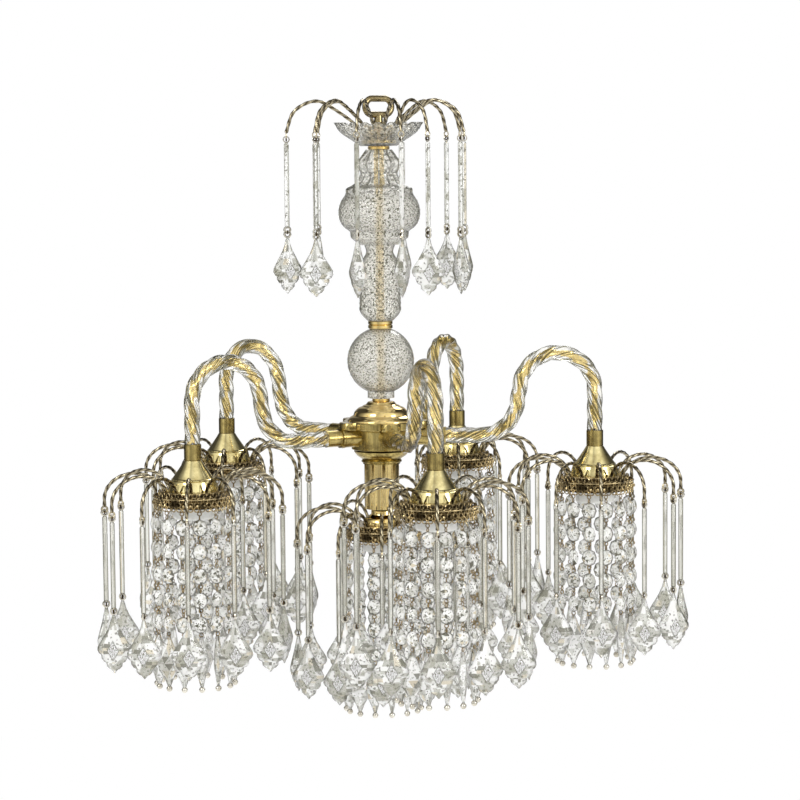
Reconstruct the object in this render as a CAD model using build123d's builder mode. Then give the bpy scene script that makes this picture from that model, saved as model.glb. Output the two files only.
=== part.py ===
"""Crystal chandelier: a column of cut glass, five S-shaped glass arms, six lamps with bead curtains.

Millimetres, +Z up. The origin is where the ceiling hook bears: the middle of the inside top of the
hanging loop. -Y is the front. Arms and drops are numbered counter-clockwise seen from above.
"""

from build123d import *
from math import cos, radians, sin
import os

os.makedirs("parts", exist_ok=True)

# ---------------------------------------------------------------- driving dimensions
# fits
glass_clearance = 0.4  # radial, glass over a metal tube
link_clearance = 0.3  # between two links that move on each other

# sides of the facets that stand for turned and cut surfaces
turned_sides = 16
bore_sides = 8
flat_enough = 1e-6  # volume, in cubic millimetres, below which four corners count as flat

# hanging loop: an oval ring on a round neck
loop_hole_width = 25.0
loop_hole_height = 9.4
loop_bar = 6.5
loop_turn = 35.0  # degrees that the ring is turned about the column
loop_sides = 8
loop_end_steps = 5  # bends in each of the oval's two round ends
loop_neck_radius = 4.5
loop_neck_length = 6.9

# centre tube, collar that carries the top spray, and the washers between the pieces of glass
tube_radius = 4.0
tube_wall = 1.0
tube_sides = 12
top_disc_radius = 12.5
top_disc_height = 4.4
collar_radius = 9.0
collar_height = 12.5
collar_flange_radius = 17.0
collar_flange_height = 3.5
dish_washer_radius = 11.0
dish_washer_height = 3.5
middle_washer_radius = 12.3
middle_washer_height = 8.0
ball_washer_radius = 9.0
ball_washer_height = 3.8

# glass dish under the loop: (height above its foot, radius)
dish_outline = [(0, 18.0), (6.5, 28.0), (14.0, 38.5), (23.5, 45.0)]
dish_sides = 20
dish_wall = 4.0

# the column's glass, upwards: (height above the piece's own foot, radius)
neck_outline = [(0, 33.5), (4.5, 32.7), (9.5, 24.5), (19, 18.6), (29, 22.4), (36, 18.0), (43, 13.0)]
neck_sides = 12
vase_outline = [(0, 19.7), (9, 29.0), (13, 29.6), (23, 38.0), (33, 41.0), (47, 36.0), (51.5, 33.5)]
vase_sides = 16
tumbler_outline = [(0, 12.5), (7, 16.4), (14, 19.5), (19, 21.0), (56, 21.0), (68, 13.5), (76, 15.5)]
tumbler_sides = 12
ball_radius = 34.3
ball_sides = 16
ball_bands = 6
ball_cap_angle = 16.0  # degrees from the axis to the ball's first ring
ball_collar_radius = 13.7
ball_collar_height = 3.6

# hub: cover, body with a boss for each arm, foot, and the tube down to the centre lamp
cover_outline = [(13.5, 19), (18, 15), (26, 10), (28, 5.5), (34, 0)]  # radius, height above its seat
hub_flange_radius = 38.0
hub_flange_height = 7.5
hub_radius = 30.0
hub_height = 30.5  # flange included
boss_radius = 10.0
boss_reach = 49.0
boss_sides = 10
foot_outline = [(27.6, 0), (24.7, -4.5), (18.8, -8.5), (18.8, -13)]  # radius, height below the hub
down_tube_radius = 17.5
down_tube_wall = 1.5
down_tube_length = 45.5
centre_cap_outline = [(11.0, 0), (11.0, -5), (17.5, -10), (19.0, -16)]  # radius, height

# arms: a glass sleeve over a square metal tube, bent in an S and down to the lamp
arm_count = 5
first_arm_angle = -76.0  # degrees from +X
arm_drop = 15.0  # the arm's centreline below the top of the hub
arm_glass_radius = 7.9
arm_glass_sides = 8
arm_tube_width = 6.0
arm_straight = 100.0  # reach at which the first bend starts
arm_bend_radius = 37.0
arm_bend_steps = 3
arm_arch_radius = 37.5
arm_arch_steps = 5
arm_arch_lift = 45.0  # the arch's centre above the arm's straight
arm_reach = 214.0
arm_end_drop = 40.0  # from the arch's centre down to the end of the glass
ferrule_radius = 8.5
ferrule_length = 16.0
ferrule_sides = 8

# lamp: bell cap, gallery and holder, downwards from the top of the cap
cap_outline = [(8.5, 0), (12.0, -6), (20.0, -17), (22.7, -19), (24.0, -29)]  # radius, height
cap_sides = 12
gallery_outline = [(31.0, 0), (39.5, -5), (40.0, -18)]  # radius, height
gallery_wall = 4.4
holder_sides = 8
holder_radius = 14.0
holder_length = 22.0
holder_skirt_radius = 19.5
holder_skirt_height = 11.0
lamp_bore_radius = 7.0
lamp_bore_length = 20.0

# bead curtain: strings of flat beads, each string ending in a kite-shaped pendant
strings_per_lamp = 14
beads_per_string = 5
bead_pitch = 23.4
bead_width = 14.0
bead_depth = 7.0
bead_lead = 14.0  # from the gallery's lower edge to the middle of the first bead
bead_link_width = 2.8
bead_link_depth = 1.4
kite_width = 25.0
kite_depth = 9.0
kite_shoulder = 26.0
kite_length = 54.0
kite_turn = 50.0  # degrees, so that neighbouring kites hang clear of each other

# sprays: arched wires, and on each a glass rod that carries a large pendant
wires_per_lamp = 12
wire_width = 3.2
lamp_wire_sides = 3
lamp_wire_path = [(27, -2), (43, 15.5), (70, 15), (86, -8), (86, -20)]  # reach, height over the gallery
rod_width = 4.8
rod_length = 86.0
rod_link_length = 8.0  # of the metal link between rod and pendant
rod_link_width = 2.2
pendant_width = 33.5
pendant_depth = 12.0
pendant_length = 56.0
pendant_shoulder = 33.0
drop_turn = 25.0  # degrees that the pendants at the lamps are turned from facing outwards

# top spray: the reach of each drop and its angle from +X
top_drops = [(92, -76), (72, -48), (88, -24), (88, 14), (92, 42), (92, 75), (92, 133), (92, 180), (92, 228), (92, 257)]
top_drop_yaws = [-35, 55, -40, 50, -55, 38, -45, 35, -50, 40]  # turn of each pendant about its rod
top_wire_width = 3.4
top_wire_root = 14.0
top_wire_start = [(14.0, 4.0), (29.0, 19.0)]  # reach, height above the collar's flange
top_wire_arch = [(0.54, 36.0), (0.78, 36.5), (1.0, 13.0)]  # share of the drop's reach, height
pivot_height = 1.0  # the drops' pivots above the collar's flange
eye_bar = 1.1
eye_hole = 2.4  # apothem of the hole in each hexagonal eye

# ---------------------------------------------------------------- levels, from the top down
loop_foot = -(loop_hole_height + loop_bar)
disc_top = loop_foot - loop_neck_length
collar_top = disc_top - top_disc_height
flange_top = collar_top - collar_height + collar_flange_height
dish_floor = collar_top - collar_height
dish_foot = dish_floor - dish_wall
neck_top = dish_foot - dish_washer_height
vase_top = neck_top - neck_outline[-1][0]
tumbler_top = vase_top - vase_outline[-1][0]
tumbler_foot = tumbler_top - tumbler_outline[-1][0]
ball_top = tumbler_foot - middle_washer_height
ball_rise = ball_radius * cos(radians(ball_cap_angle))
ball_centre = ball_top - ball_rise
ball_foot = ball_centre - ball_rise - ball_collar_height
cover_top = ball_foot - ball_washer_height
hub_top = cover_top - cover_outline[0][1]
hub_bottom = hub_top - hub_height
foot_bottom = hub_bottom + foot_outline[-1][1]
centre_cap_top = foot_bottom - down_tube_length
centre_gallery_top = centre_cap_top + centre_cap_outline[-1][1]
arm_level = hub_top - arm_drop
arch_level = arm_level + arm_arch_lift
glass_end = arch_level - arm_end_drop
cap_top = glass_end - ferrule_length
gallery_top = cap_top + cap_outline[-1][1]
pivot_level = flange_top + pivot_height
curtain_top = gallery_outline[-1][1]
string_ring_radius = gallery_outline[-1][0] - gallery_wall / 2

arm_angles = [first_arm_angle + 360 / arm_count * k for k in range(arm_count)]
arm_lamps = [(arm_reach * cos(radians(a)), arm_reach * sin(radians(a))) for a in arm_angles]
lamp_places = [(x, y, gallery_top) for x, y in arm_lamps] + [(0, 0, centre_gallery_top)]


# ---------------------------------------------------------------- shapes that repeat
def upright_plane(angle, height=0.0, reach=0.0, turn=0.0):
    """A vertical plane on the spoke at the angle: its x is turned from the spoke, its y points up."""
    out = Vector(cos(radians(angle)), sin(radians(angle)), 0)
    aside = out.rotate(Axis.Z, turn)
    return Plane(origin=out * reach + Vector(0, 0, height), x_dir=aside, z_dir=aside.cross(Vector(0, 0, 1)))


def faceted_body(outline, section):
    """A closed body of flat facets through sections; the outline gives each one's height and measures."""
    rings = [[Vector(x, y, height) for x, y in section(*measures)] for height, *measures in outline]
    facets = [ring for ring in (rings[0], rings[-1]) if ring[0] != ring[1]]
    for low, high in zip(rings, rings[1:]):
        for k in range(len(low)):
            a, b, c, d = low[k - 1], low[k], high[k], high[k - 1]
            if a == b:
                facets.append([b, c, d])
            elif abs((b - a).cross(c - a).dot(d - a)) < flat_enough:
                facets.append([a, b, c, d])
            else:
                facets += [[a, b, c], [a, c, d]]
    return Solid(Shell([Face(Wire.make_polygon(corners)) for corners in facets]))


def round_section(sides):
    """A section that takes its radius and gives the corners of a regular polygon."""
    turns = [radians(360 / sides * (k + 0.5)) for k in range(sides)]
    return lambda radius: [(radius * cos(t), radius * sin(t)) for t in turns]


def gem_section(width, depth, turn=0):
    """Three corners about their own middle; the broad side faces outward along x before it is turned."""
    corners = [(depth / 3, width / 2), (-2 * depth / 3, 0), (depth / 3, -width / 2)]
    c, s = cos(radians(turn)), sin(radians(turn))
    return [(x * c - y * s, x * s + y * c) for x, y in corners]


def diamond_section(width, depth):
    """Four corners, wide along x."""
    return [(width / 2, 0), (0, depth / 2), (-width / 2, 0), (0, -depth / 2)]


def bent_bar(plane, points, corner_radius, sides):
    """A many-sided bar with mitred bends along points of the plane."""
    with BuildPart() as bar:
        with BuildLine(plane) as path:
            Polyline(*points)
        with BuildSketch(Plane(origin=path.line @ 0, x_dir=plane.z_dir, z_dir=path.line % 0)):
            RegularPolygon(corner_radius, sides, rotation=180 / sides)
        sweep(path=path.line, transition=Transition.RIGHT)
    return bar.part


def hexagon_eye(plane, height):
    """A six-sided ring in the plane, flat at its top and bottom, centred at the height."""
    with BuildPart() as eye:
        with BuildSketch(plane):
            with Locations((0, height)):
                RegularPolygon(eye_hole + eye_bar, 6, major_radius=False)
                RegularPolygon(eye_hole, 6, major_radius=False, mode=Mode.SUBTRACT)
        extrude(amount=eye_bar / 2, both=True)
    return eye.part


def write(piece, name):
    """Labels a finished piece and writes it under the same name."""
    piece.part.label = name
    export_step(piece.part, f"parts/{name}.step")


# ---------------------------------------------------------------- loop, tube, washers and collar
oval_radius = (loop_hole_height + loop_bar) / 2
oval_half = (loop_hole_width - loop_hole_height) / 2
oval = [(0, -oval_radius)]
for side, first in [(1, -90), (-1, 90)]:
    for k in range(loop_end_steps + 1):
        turn = radians(first + 180 / loop_end_steps * k)
        oval.append((side * oval_half + oval_radius * cos(turn), oval_radius * sin(turn)))
with BuildPart() as hanging_loop:
    with BuildLine(upright_plane(loop_turn, -loop_hole_height / 2)) as ring:
        Polyline(*oval, close=True)
    with BuildSketch(Plane(origin=ring.line @ 0, x_dir=(0, 0, 1), z_dir=ring.line % 0)):
        RegularPolygon(loop_bar / 2, loop_sides, major_radius=False, rotation=180 / loop_sides)
    sweep(path=ring.line, transition=Transition.RIGHT)
    with BuildSketch(Plane.XY.offset(disc_top)):
        RegularPolygon(loop_neck_radius, tube_sides)
    extrude(amount=loop_neck_length + loop_bar / 2)
write(hanging_loop, "hanging_loop")

with BuildPart() as centre_tube:
    with BuildSketch(Plane.XY.offset(hub_bottom)):
        RegularPolygon(tube_radius, tube_sides)
        RegularPolygon(tube_radius - tube_wall, tube_sides, mode=Mode.SUBTRACT)
    extrude(amount=disc_top - hub_bottom)
write(centre_tube, "centre_tube")

with BuildPart() as column_washers:
    for foot, radius, height in [
        (collar_top, top_disc_radius, top_disc_height),
        (neck_top, dish_washer_radius, dish_washer_height),
        (ball_top, middle_washer_radius, middle_washer_height),
        (cover_top, ball_washer_radius, ball_washer_height),
    ]:
        with BuildSketch(Plane.XY.offset(foot)):
            RegularPolygon(radius, turned_sides)
            RegularPolygon(tube_radius, bore_sides, major_radius=False, mode=Mode.SUBTRACT)
        extrude(amount=height)
write(column_washers, "column_washers")

with BuildPart() as spray_collar:
    with BuildSketch(Plane.XY.offset(dish_floor)):
        RegularPolygon(collar_flange_radius, turned_sides)
    extrude(amount=collar_flange_height)
    with BuildSketch(Plane.XY.offset(flange_top)):
        RegularPolygon(collar_radius, turned_sides)
    extrude(amount=collar_top - flange_top)
    with BuildSketch(Plane.XY.offset(dish_floor)):
        RegularPolygon(tube_radius, bore_sides, major_radius=False)
    extrude(amount=collar_height, mode=Mode.SUBTRACT)
write(spray_collar, "spray_collar")

# ---------------------------------------------------------------- glass of the column
glass_bore = tube_radius + glass_clearance
bowl_outline = [(dish_wall, dish_outline[1][1] - 2 * dish_wall)]
bowl_outline += [(height, radius - dish_wall) for height, radius in dish_outline[2:]]
with BuildPart() as top_dish:
    with Locations((0, 0, dish_foot)):
        add(faceted_body(dish_outline, round_section(dish_sides)))
        add(faceted_body(bowl_outline, round_section(dish_sides)), mode=Mode.SUBTRACT)
    with BuildSketch(Plane.XY.offset(dish_foot)):
        RegularPolygon(glass_bore, bore_sides, major_radius=False)
    extrude(amount=dish_wall, mode=Mode.SUBTRACT)
write(top_dish, "top_dish")

ball_angles = [
    180 - ball_cap_angle - (180 - 2 * ball_cap_angle) / ball_bands * k for k in range(ball_bands + 1)
]
ball_outline = [(0, ball_collar_radius), (ball_collar_height, ball_collar_radius)]
for angle in ball_angles[1:]:
    ball_outline.append(
        (ball_centre - ball_foot + ball_radius * cos(radians(angle)), ball_radius * sin(radians(angle)))
    )
for name, foot, outline, sides in [
    ("neck_glass", vase_top, neck_outline, neck_sides),
    ("vase_glass", tumbler_top, vase_outline, vase_sides),
    ("tumbler_glass", tumbler_foot, tumbler_outline, tumbler_sides),
    ("ball_glass", ball_foot, ball_outline, ball_sides),
]:
    with BuildPart() as glass:
        with Locations((0, 0, foot)):
            add(faceted_body(outline, round_section(sides)))
        with BuildSketch(Plane.XY.offset(foot)):
            RegularPolygon(glass_bore, bore_sides, major_radius=False)
        extrude(amount=outline[-1][0], mode=Mode.SUBTRACT)
    write(glass, name)

# ---------------------------------------------------------------- hub and down tube
with BuildPart() as hub_cover:
    with Locations((0, 0, hub_top)):
        add(faceted_body([(z, r) for r, z in reversed(cover_outline)], round_section(turned_sides)))
    with BuildSketch(Plane.XY.offset(hub_top)):
        RegularPolygon(tube_radius, bore_sides, major_radius=False)
    extrude(amount=cover_outline[0][1], mode=Mode.SUBTRACT)
write(hub_cover, "hub_cover")

with BuildPart() as hub_body:
    with BuildSketch(Plane.XY.offset(hub_bottom)):
        RegularPolygon(hub_radius, turned_sides)
    extrude(amount=hub_height - hub_flange_height)
    with BuildSketch(Plane.XY.offset(hub_top - hub_flange_height)):
        RegularPolygon(hub_flange_radius, turned_sides)
    extrude(amount=hub_flange_height)
    for angle in arm_angles:
        with BuildSketch(upright_plane(angle, arm_level, turn=90)):
            RegularPolygon(boss_radius, boss_sides)
        extrude(amount=boss_reach)
    with BuildSketch(Plane.XY.offset(hub_bottom)):
        RegularPolygon(tube_radius, bore_sides, major_radius=False)
    extrude(amount=hub_height, mode=Mode.SUBTRACT)
write(hub_body, "hub_body")

with BuildPart() as hub_foot:
    with Locations((0, 0, hub_bottom)):
        add(faceted_body([(z, r) for r, z in reversed(foot_outline)], round_section(turned_sides)))
write(hub_foot, "hub_foot")

with BuildPart() as down_tube:
    with BuildSketch(Plane.XY.offset(centre_cap_top)):
        RegularPolygon(down_tube_radius, turned_sides)
        RegularPolygon(down_tube_radius - down_tube_wall, tube_sides, mode=Mode.SUBTRACT)
    extrude(amount=down_tube_length)
write(down_tube, "down_tube")

# ---------------------------------------------------------------- arms
arm_bend = [
    (arm_straight + arm_bend_radius * sin(radians(a)), arm_bend_radius * (1 - cos(radians(a))))
    for a in [90 / arm_bend_steps * (k + 1) for k in range(arm_bend_steps)]
]
arm_arch = [
    (arm_reach - arm_arch_radius * (1 + cos(radians(a))), arm_arch_lift + arm_arch_radius * sin(radians(a)))
    for a in [180 / arm_arch_steps * k for k in range(arm_arch_steps + 1)]
]
glass_start = boss_reach + ferrule_length
arm_route = [(glass_start, 0), (arm_straight, 0), *arm_bend, *arm_arch, (arm_reach, glass_end - arm_level)]
tube_corner = arm_tube_width / 2**0.5
arm_bore_corner = tube_corner + glass_clearance * 2**0.5

for number, angle in enumerate(arm_angles, start=1):
    spoke = upright_plane(angle, arm_level)
    with BuildPart() as arm_glass:
        add(bent_bar(spoke, arm_route, arm_glass_radius, arm_glass_sides))
        add(bent_bar(spoke, arm_route, arm_bore_corner, 4), mode=Mode.SUBTRACT)
    write(arm_glass, f"arm_glass_{number}")

with BuildPart() as arm_tubes:
    for angle in arm_angles:
        add(bent_bar(upright_plane(angle, arm_level), arm_route, tube_corner, 4))
write(arm_tubes, "arm_tubes")

with BuildPart() as hub_ferrules:
    for angle in arm_angles:
        with BuildSketch(upright_plane(angle, arm_level, boss_reach, turn=90)):
            RegularPolygon(ferrule_radius, ferrule_sides)
        extrude(amount=ferrule_length)
write(hub_ferrules, "hub_ferrules")

with BuildPart() as lamp_ferrules:
    with BuildSketch(Plane.XY.offset(cap_top)):
        with Locations(*arm_lamps):
            RegularPolygon(ferrule_radius, ferrule_sides)
    extrude(amount=ferrule_length)
write(lamp_ferrules, "lamp_ferrules")

# ---------------------------------------------------------------- lamps
cap_rising = [(z, r) for r, z in reversed(cap_outline)]
with BuildPart() as lamp_caps:
    with Locations(*[(x, y, cap_top) for x, y in arm_lamps]):
        add(faceted_body(cap_rising, round_section(cap_sides)))
write(lamp_caps, "lamp_caps")

centre_cap_rising = [(z, r) for r, z in reversed(centre_cap_outline)]
with BuildPart() as centre_cap:
    with Locations((0, 0, centre_cap_top)):
        add(faceted_body(centre_cap_rising, round_section(cap_sides)))
write(centre_cap, "centre_cap")

# what hangs at every lamp is made about its own axis, with its heights measured from the gallery's top
gallery_rising = [(z, r) for r, z in reversed(gallery_outline)]
gallery_hollow = [(z, r - gallery_wall) for z, r in gallery_rising[:-1]]
with BuildPart() as gallery:
    add(faceted_body(gallery_rising, round_section(strings_per_lamp)))
    add(faceted_body(gallery_hollow, round_section(strings_per_lamp)), mode=Mode.SUBTRACT)

holder_top = gallery_hollow[-1][0]
holder_foot = holder_top - holder_length
with BuildPart() as holder:
    with BuildSketch(Plane.XY.offset(holder_foot)):
        RegularPolygon(holder_skirt_radius, holder_sides)
    extrude(amount=holder_skirt_height)
    with BuildSketch(Plane.XY.offset(holder_foot)):
        RegularPolygon(holder_radius, holder_sides)
    extrude(amount=holder_length)
    with BuildSketch(Plane.XY.offset(holder_foot)):
        Circle(lamp_bore_radius)
    extrude(amount=lamp_bore_length, mode=Mode.SUBTRACT)

kite_top = curtain_top - bead_lead - (beads_per_string - 0.5) * bead_pitch
bead_stations = [(curtain_top, bead_link_width, bead_link_depth)]
for k in range(beads_per_string):
    bead_level = curtain_top - bead_lead - k * bead_pitch
    bead_stations.append((bead_level, bead_width, bead_depth))
    bead_stations.append((bead_level - bead_pitch / 2, bead_link_width, bead_link_depth))
bead_stations.append((kite_top - kite_shoulder, kite_width, kite_depth, kite_turn))
bead_stations.append((kite_top - kite_length, 0, 0))
with BuildPart() as bead_string:
    with Locations((string_ring_radius, 0, 0)):
        add(faceted_body(bead_stations[::-1], gem_section))

wire_reach, wire_end = lamp_wire_path[-1]
with BuildPart() as spray_wire:
    add(bent_bar(upright_plane(0), lamp_wire_path, wire_width / 2, lamp_wire_sides))
    with BuildSketch(Plane.XY):
        with Locations((lamp_wire_path[0][0], 0)):
            Rectangle(3 * wire_width, 3 * wire_width)
    extrude(amount=-3 * wire_width, mode=Mode.SUBTRACT)

drop_stations = [
    (-rod_length - rod_link_length - pendant_length, 0, 0),
    (-rod_length - rod_link_length - pendant_shoulder, pendant_width, pendant_depth, drop_turn),
    (-rod_length - rod_link_length, rod_width, rod_width),
    (0, rod_width, rod_width),
]
with BuildPart() as spray_drop:
    with Locations((wire_reach, 0, wire_end)):
        add(faceted_body(drop_stations, gem_section))

for number, place in enumerate(lamp_places, start=1):
    for name, piece, copies in [
        ("lamp_gallery", gallery, 1),
        ("bead_strings", bead_string, strings_per_lamp),
        ("spray_wires", spray_wire, wires_per_lamp),
        ("spray_drops", spray_drop, wires_per_lamp),
    ]:
        with BuildPart() as lamp_piece:
            with Locations(place):
                with PolarLocations(0, copies):
                    add(piece.part)
        write(lamp_piece, f"{name}_{number}")

with BuildPart() as lamp_holders:
    with Locations(*lamp_places):
        add(holder.part)
write(lamp_holders, "lamp_holders")

# ---------------------------------------------------------------- top spray
# each wire ends in an eye across the spoke; the drop's own eye lies along the spoke and swings in it
eye_rise = eye_hole + eye_bar / 2
with BuildPart() as top_spray_wires:
    for reach, angle in top_drops:
        route = [(top_wire_root, 0), *top_wire_start]
        route += [(share * reach, height) for share, height in top_wire_arch]
        route.append((reach, pivot_height + 2 * eye_rise + eye_bar / 2))
        add(bent_bar(upright_plane(angle, flange_top), route, top_wire_width / 2, 4))
        add(hexagon_eye(upright_plane(angle, pivot_level, reach, turn=90), eye_rise))
write(top_spray_wires, "top_spray_wires")

ring_top = eye_bar / 2**0.5 + link_clearance  # inside top of the drop's eye, above the pivot
ring_foot = ring_top - 2 * eye_hole - eye_bar
pendant_top = ring_foot - rod_length - rod_link_length
top_drop_stations = [
    (pendant_top - pendant_length, 0, 0),
    (pendant_top - pendant_shoulder, pendant_width, pendant_depth),
    (pendant_top - pendant_shoulder / 2, 0.6 * pendant_width, 0.8 * pendant_depth),
    (pendant_top, rod_link_width, rod_link_width),
    (ring_foot - rod_length - rod_link_width, rod_link_width, rod_link_width),
    (ring_foot - rod_length, rod_width, rod_width),
    (ring_foot, rod_width, rod_width),
]
for number, ((reach, angle), yaw) in enumerate(zip(top_drops, top_drop_yaws), start=1):
    spoke = upright_plane(angle, pivot_level, reach)
    with BuildPart() as top_drop:
        add(hexagon_eye(spoke, ring_top - eye_hole))
        with Locations(Location(spoke.origin, (0, 0, angle + yaw))):
            add(faceted_body(top_drop_stations, diamond_section))
    write(top_drop, f"top_drop_{number}")
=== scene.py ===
"""Looks of the crystal chandelier: cut glass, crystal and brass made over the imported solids.

Shapes are worked out in millimetres, in the frame of the solids, and laid into meshes in metres.
A shape is three arrays: its points, the corners of its faces one after another, and how many
corners each face has.
"""

import bpy
import numpy as np
from mathutils import Matrix, Vector


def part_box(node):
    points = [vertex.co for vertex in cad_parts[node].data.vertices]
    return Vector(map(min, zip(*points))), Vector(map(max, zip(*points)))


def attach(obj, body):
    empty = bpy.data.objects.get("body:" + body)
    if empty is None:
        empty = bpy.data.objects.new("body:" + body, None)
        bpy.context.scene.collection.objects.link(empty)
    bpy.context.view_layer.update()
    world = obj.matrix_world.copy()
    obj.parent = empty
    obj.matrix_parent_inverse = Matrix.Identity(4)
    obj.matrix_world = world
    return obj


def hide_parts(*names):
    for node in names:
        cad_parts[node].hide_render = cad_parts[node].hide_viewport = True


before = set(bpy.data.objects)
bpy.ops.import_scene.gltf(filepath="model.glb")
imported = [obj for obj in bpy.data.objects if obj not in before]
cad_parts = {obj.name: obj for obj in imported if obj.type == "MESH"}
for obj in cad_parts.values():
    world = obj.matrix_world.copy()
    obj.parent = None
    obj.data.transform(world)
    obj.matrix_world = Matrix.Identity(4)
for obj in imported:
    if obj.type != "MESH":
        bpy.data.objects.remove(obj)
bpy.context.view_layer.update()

MM = 0.001
rng = np.random.default_rng(7)
scene = bpy.context.scene


# ---- places, read from the solids
def span(node):
    """Lowest and highest corner of a solid, in millimetres."""
    low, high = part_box(node)
    return np.array(low) / MM, np.array(high) / MM


def top(node):
    return span(node)[1][2]


def foot(node):
    return span(node)[0][2]


lamp_numbers = range(1, 7)
lamp_spans = [span(f"lamp_gallery_{k}") for k in lamp_numbers]
lamp_places = np.array([[*((low + high) / 2)[:2], high[2]] for low, high in lamp_spans])
lamp_places[-1, :2] = 0  # the centre lamp hangs on the upright through the origin
arm_places = lamp_places[:5]
arm_angles = np.degrees(np.arctan2(arm_places[:, 1], arm_places[:, 0]))
arm_reach = np.hypot(arm_places[0, 0], arm_places[0, 1])

# ---- sizes, in millimetres and degrees
pole = 0.2  # radius at which a turned piece without a bore is closed by a small face
metal_bore, glass_bore = 4.2, 4.4  # radii of the ways for the centre tube
loop_hole = (25.0, 9.4)
loop_bar = 6.5
loop_turn = 35.0
top_disc_radius = 12.5
washer_radii = (11.0, 12.3, 9.0)  # under the dish, over the ball, under the ball
washer_heights = (3.5, 8.0, 3.8)
wall, tumbler_wall = 5.0, 4.0
boss_drop = 15.0
arm_level = top("hub_body") - boss_drop
glass_start = 65.0
arm_straight = 100.0
arm_bend_radius = 37.0
arm_arch_radius = 37.5
arm_arch_lift = 45.0
arm_end_drop = 40.0
arm_glass_radius = 7.9
arm_lobe = 0.55
ribbon_half = (3.2, 1.7)
sleeve_twist, ribbon_twist, wire_twist, top_wire_twist = 95, 60, 17, 18  # length of one turn
boss_reach, boss_radius, boss_ring_radius = 49.0, 9.9, 10.3
ferrule_radius, ferrule_length = 8.4, 16.0
string_ring = 37.8
strings_per_lamp = 14
wires_per_lamp = 12
curtain_top = -18.0
bead_lead, bead_pitch, beads_per_string = 14.0, 23.4, 5
kite_turn = 50.0
wire_reach, wire_end = 86.0, -20.0
rod_length = 86.0
top_drops = [  # reach and angle
    (92, -76), (72, -48), (88, -24), (88, 14), (92, 42), (92, 75), (92, 133), (92, 180), (92, 228), (92, 257),
]
top_drop_yaws = [-35, 55, -40, 50, -55, 38, -45, 35, -50, 40]
collar_neck_height, pivot_rise, top_eye_radius = 9.0, 1.0, 2.95
flange_top = top("spray_collar") - collar_neck_height
pivot_level = flange_top + pivot_rise


# ---- curves and shapes
def evenly(path, count):
    """Points an equal length apart along a run of points."""
    path = np.asarray(path, float)
    length = np.append(0, np.cumsum(np.linalg.norm(np.diff(path, axis=0), axis=1)))
    at = np.linspace(0, length[-1], count)
    return np.stack([np.interp(at, length, column) for column in path.T], -1)


def through(points, count):
    """A smooth curve through points: cubics, whose slope at each point is half the chord across it."""
    p = np.asarray(points, float)
    slope = np.gradient(p, axis=0)
    t = np.linspace(0, len(p) - 1, 24 * len(p))
    k = np.minimum(t.astype(int), len(p) - 2)
    f = (t - k)[:, None]
    curve = (2 * f**3 - 3 * f**2 + 1) * p[k] + (f**3 - 2 * f**2 + f) * slope[k]
    curve += (3 * f**2 - 2 * f**3) * p[k + 1] + (f**3 - f**2) * slope[k + 1]
    return evenly(curve, count)


def arc(centre, radius, first, last, count=24):
    """Points of an arc between two angles in degrees; the radius may be a pair, for an oval."""
    t = np.radians(np.linspace(first, last, count))
    return np.asarray(centre) + np.stack([np.cos(t), np.sin(t)], -1) * radius


def volume(points, corners, sizes):
    """Signed volume: over each face's fan of triangles, first corner dot (second cross third), over six."""
    starts = np.cumsum(sizes) - sizes
    following = np.arange(1, len(corners) + 1)
    following[starts + sizes - 1] = starts
    first, second = points[np.repeat(corners[starts], sizes)], points[corners]
    return np.sum(first * np.cross(second, points[corners[following]])) / 6


def skin(rings, closed=False):
    """The surface through rings[along, around], facing out; flat faces end it, or it closes on itself."""
    along, around, _ = rings.shape
    index = np.arange(along * around).reshape(along, around)
    low, high = (index, np.roll(index, -1, 0)) if closed else (index[:-1], index[1:])
    corners = np.stack([low, np.roll(low, -1, 1), np.roll(high, -1, 1), high], -1).ravel()
    sizes = np.full(len(corners) // 4, 4)
    if not closed:
        corners = np.concatenate([corners, index[0, ::-1], index[-1]])
        sizes = np.append(sizes, [around, around])
    points = rings.reshape(-1, 3)
    if volume(points, corners, sizes) < 0:
        corners, sizes = corners[::-1], sizes[::-1]
    return points, corners, sizes


def joined(*shapes):
    """Several shapes as one."""
    steps = np.cumsum([0] + [len(points) for points, _, _ in shapes])
    return (
        np.concatenate([points for points, _, _ in shapes]),
        np.concatenate([corners + step for (_, corners, _), step in zip(shapes, steps)]),
        np.concatenate([sizes for _, _, sizes in shapes]),
    )


def turns(angles, places=(0, 0, 0)):
    """Placements [copy, 3, 4]: a turn about the upright by each angle in degrees, then each place's move."""
    t = np.radians(np.atleast_1d(angles).astype(float))
    made = np.zeros((len(t), 3, 4))
    made[:, 0, 0] = made[:, 1, 1] = np.cos(t)
    made[:, 1, 0], made[:, 0, 1] = np.sin(t), -np.sin(t)
    made[:, 2, 2] = 1
    made[:, :, 3] = places
    return made


def after(outer, inner):
    """Placements that apply the inner ones first and then the outer ones, pair by pair or one to all."""
    turn = outer[:, :, :3] @ inner[:, :, :3]
    step = inner[:, :, 3] + 0 * outer[:, :, 3]
    move = np.einsum("kij,kj->ki", outer[:, :, :3], step) + outer[:, :, 3]
    return np.concatenate([turn, move[:, :, None]], -1)


def copies(shape, placements):
    """The shape once at each placement."""
    points, corners, sizes = shape
    moved = np.einsum("kij,nj->kni", placements[:, :, :3], points) + placements[:, None, :, 3]
    steps = np.arange(len(placements)) * len(points)
    return moved.reshape(-1, 3), (corners + steps[:, None]).ravel(), np.tile(sizes, len(placements))


def shifted(shape, x=0.0, y=0.0, z=0.0):
    return shape[0] + np.array([x, y, z]), shape[1], shape[2]


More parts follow.
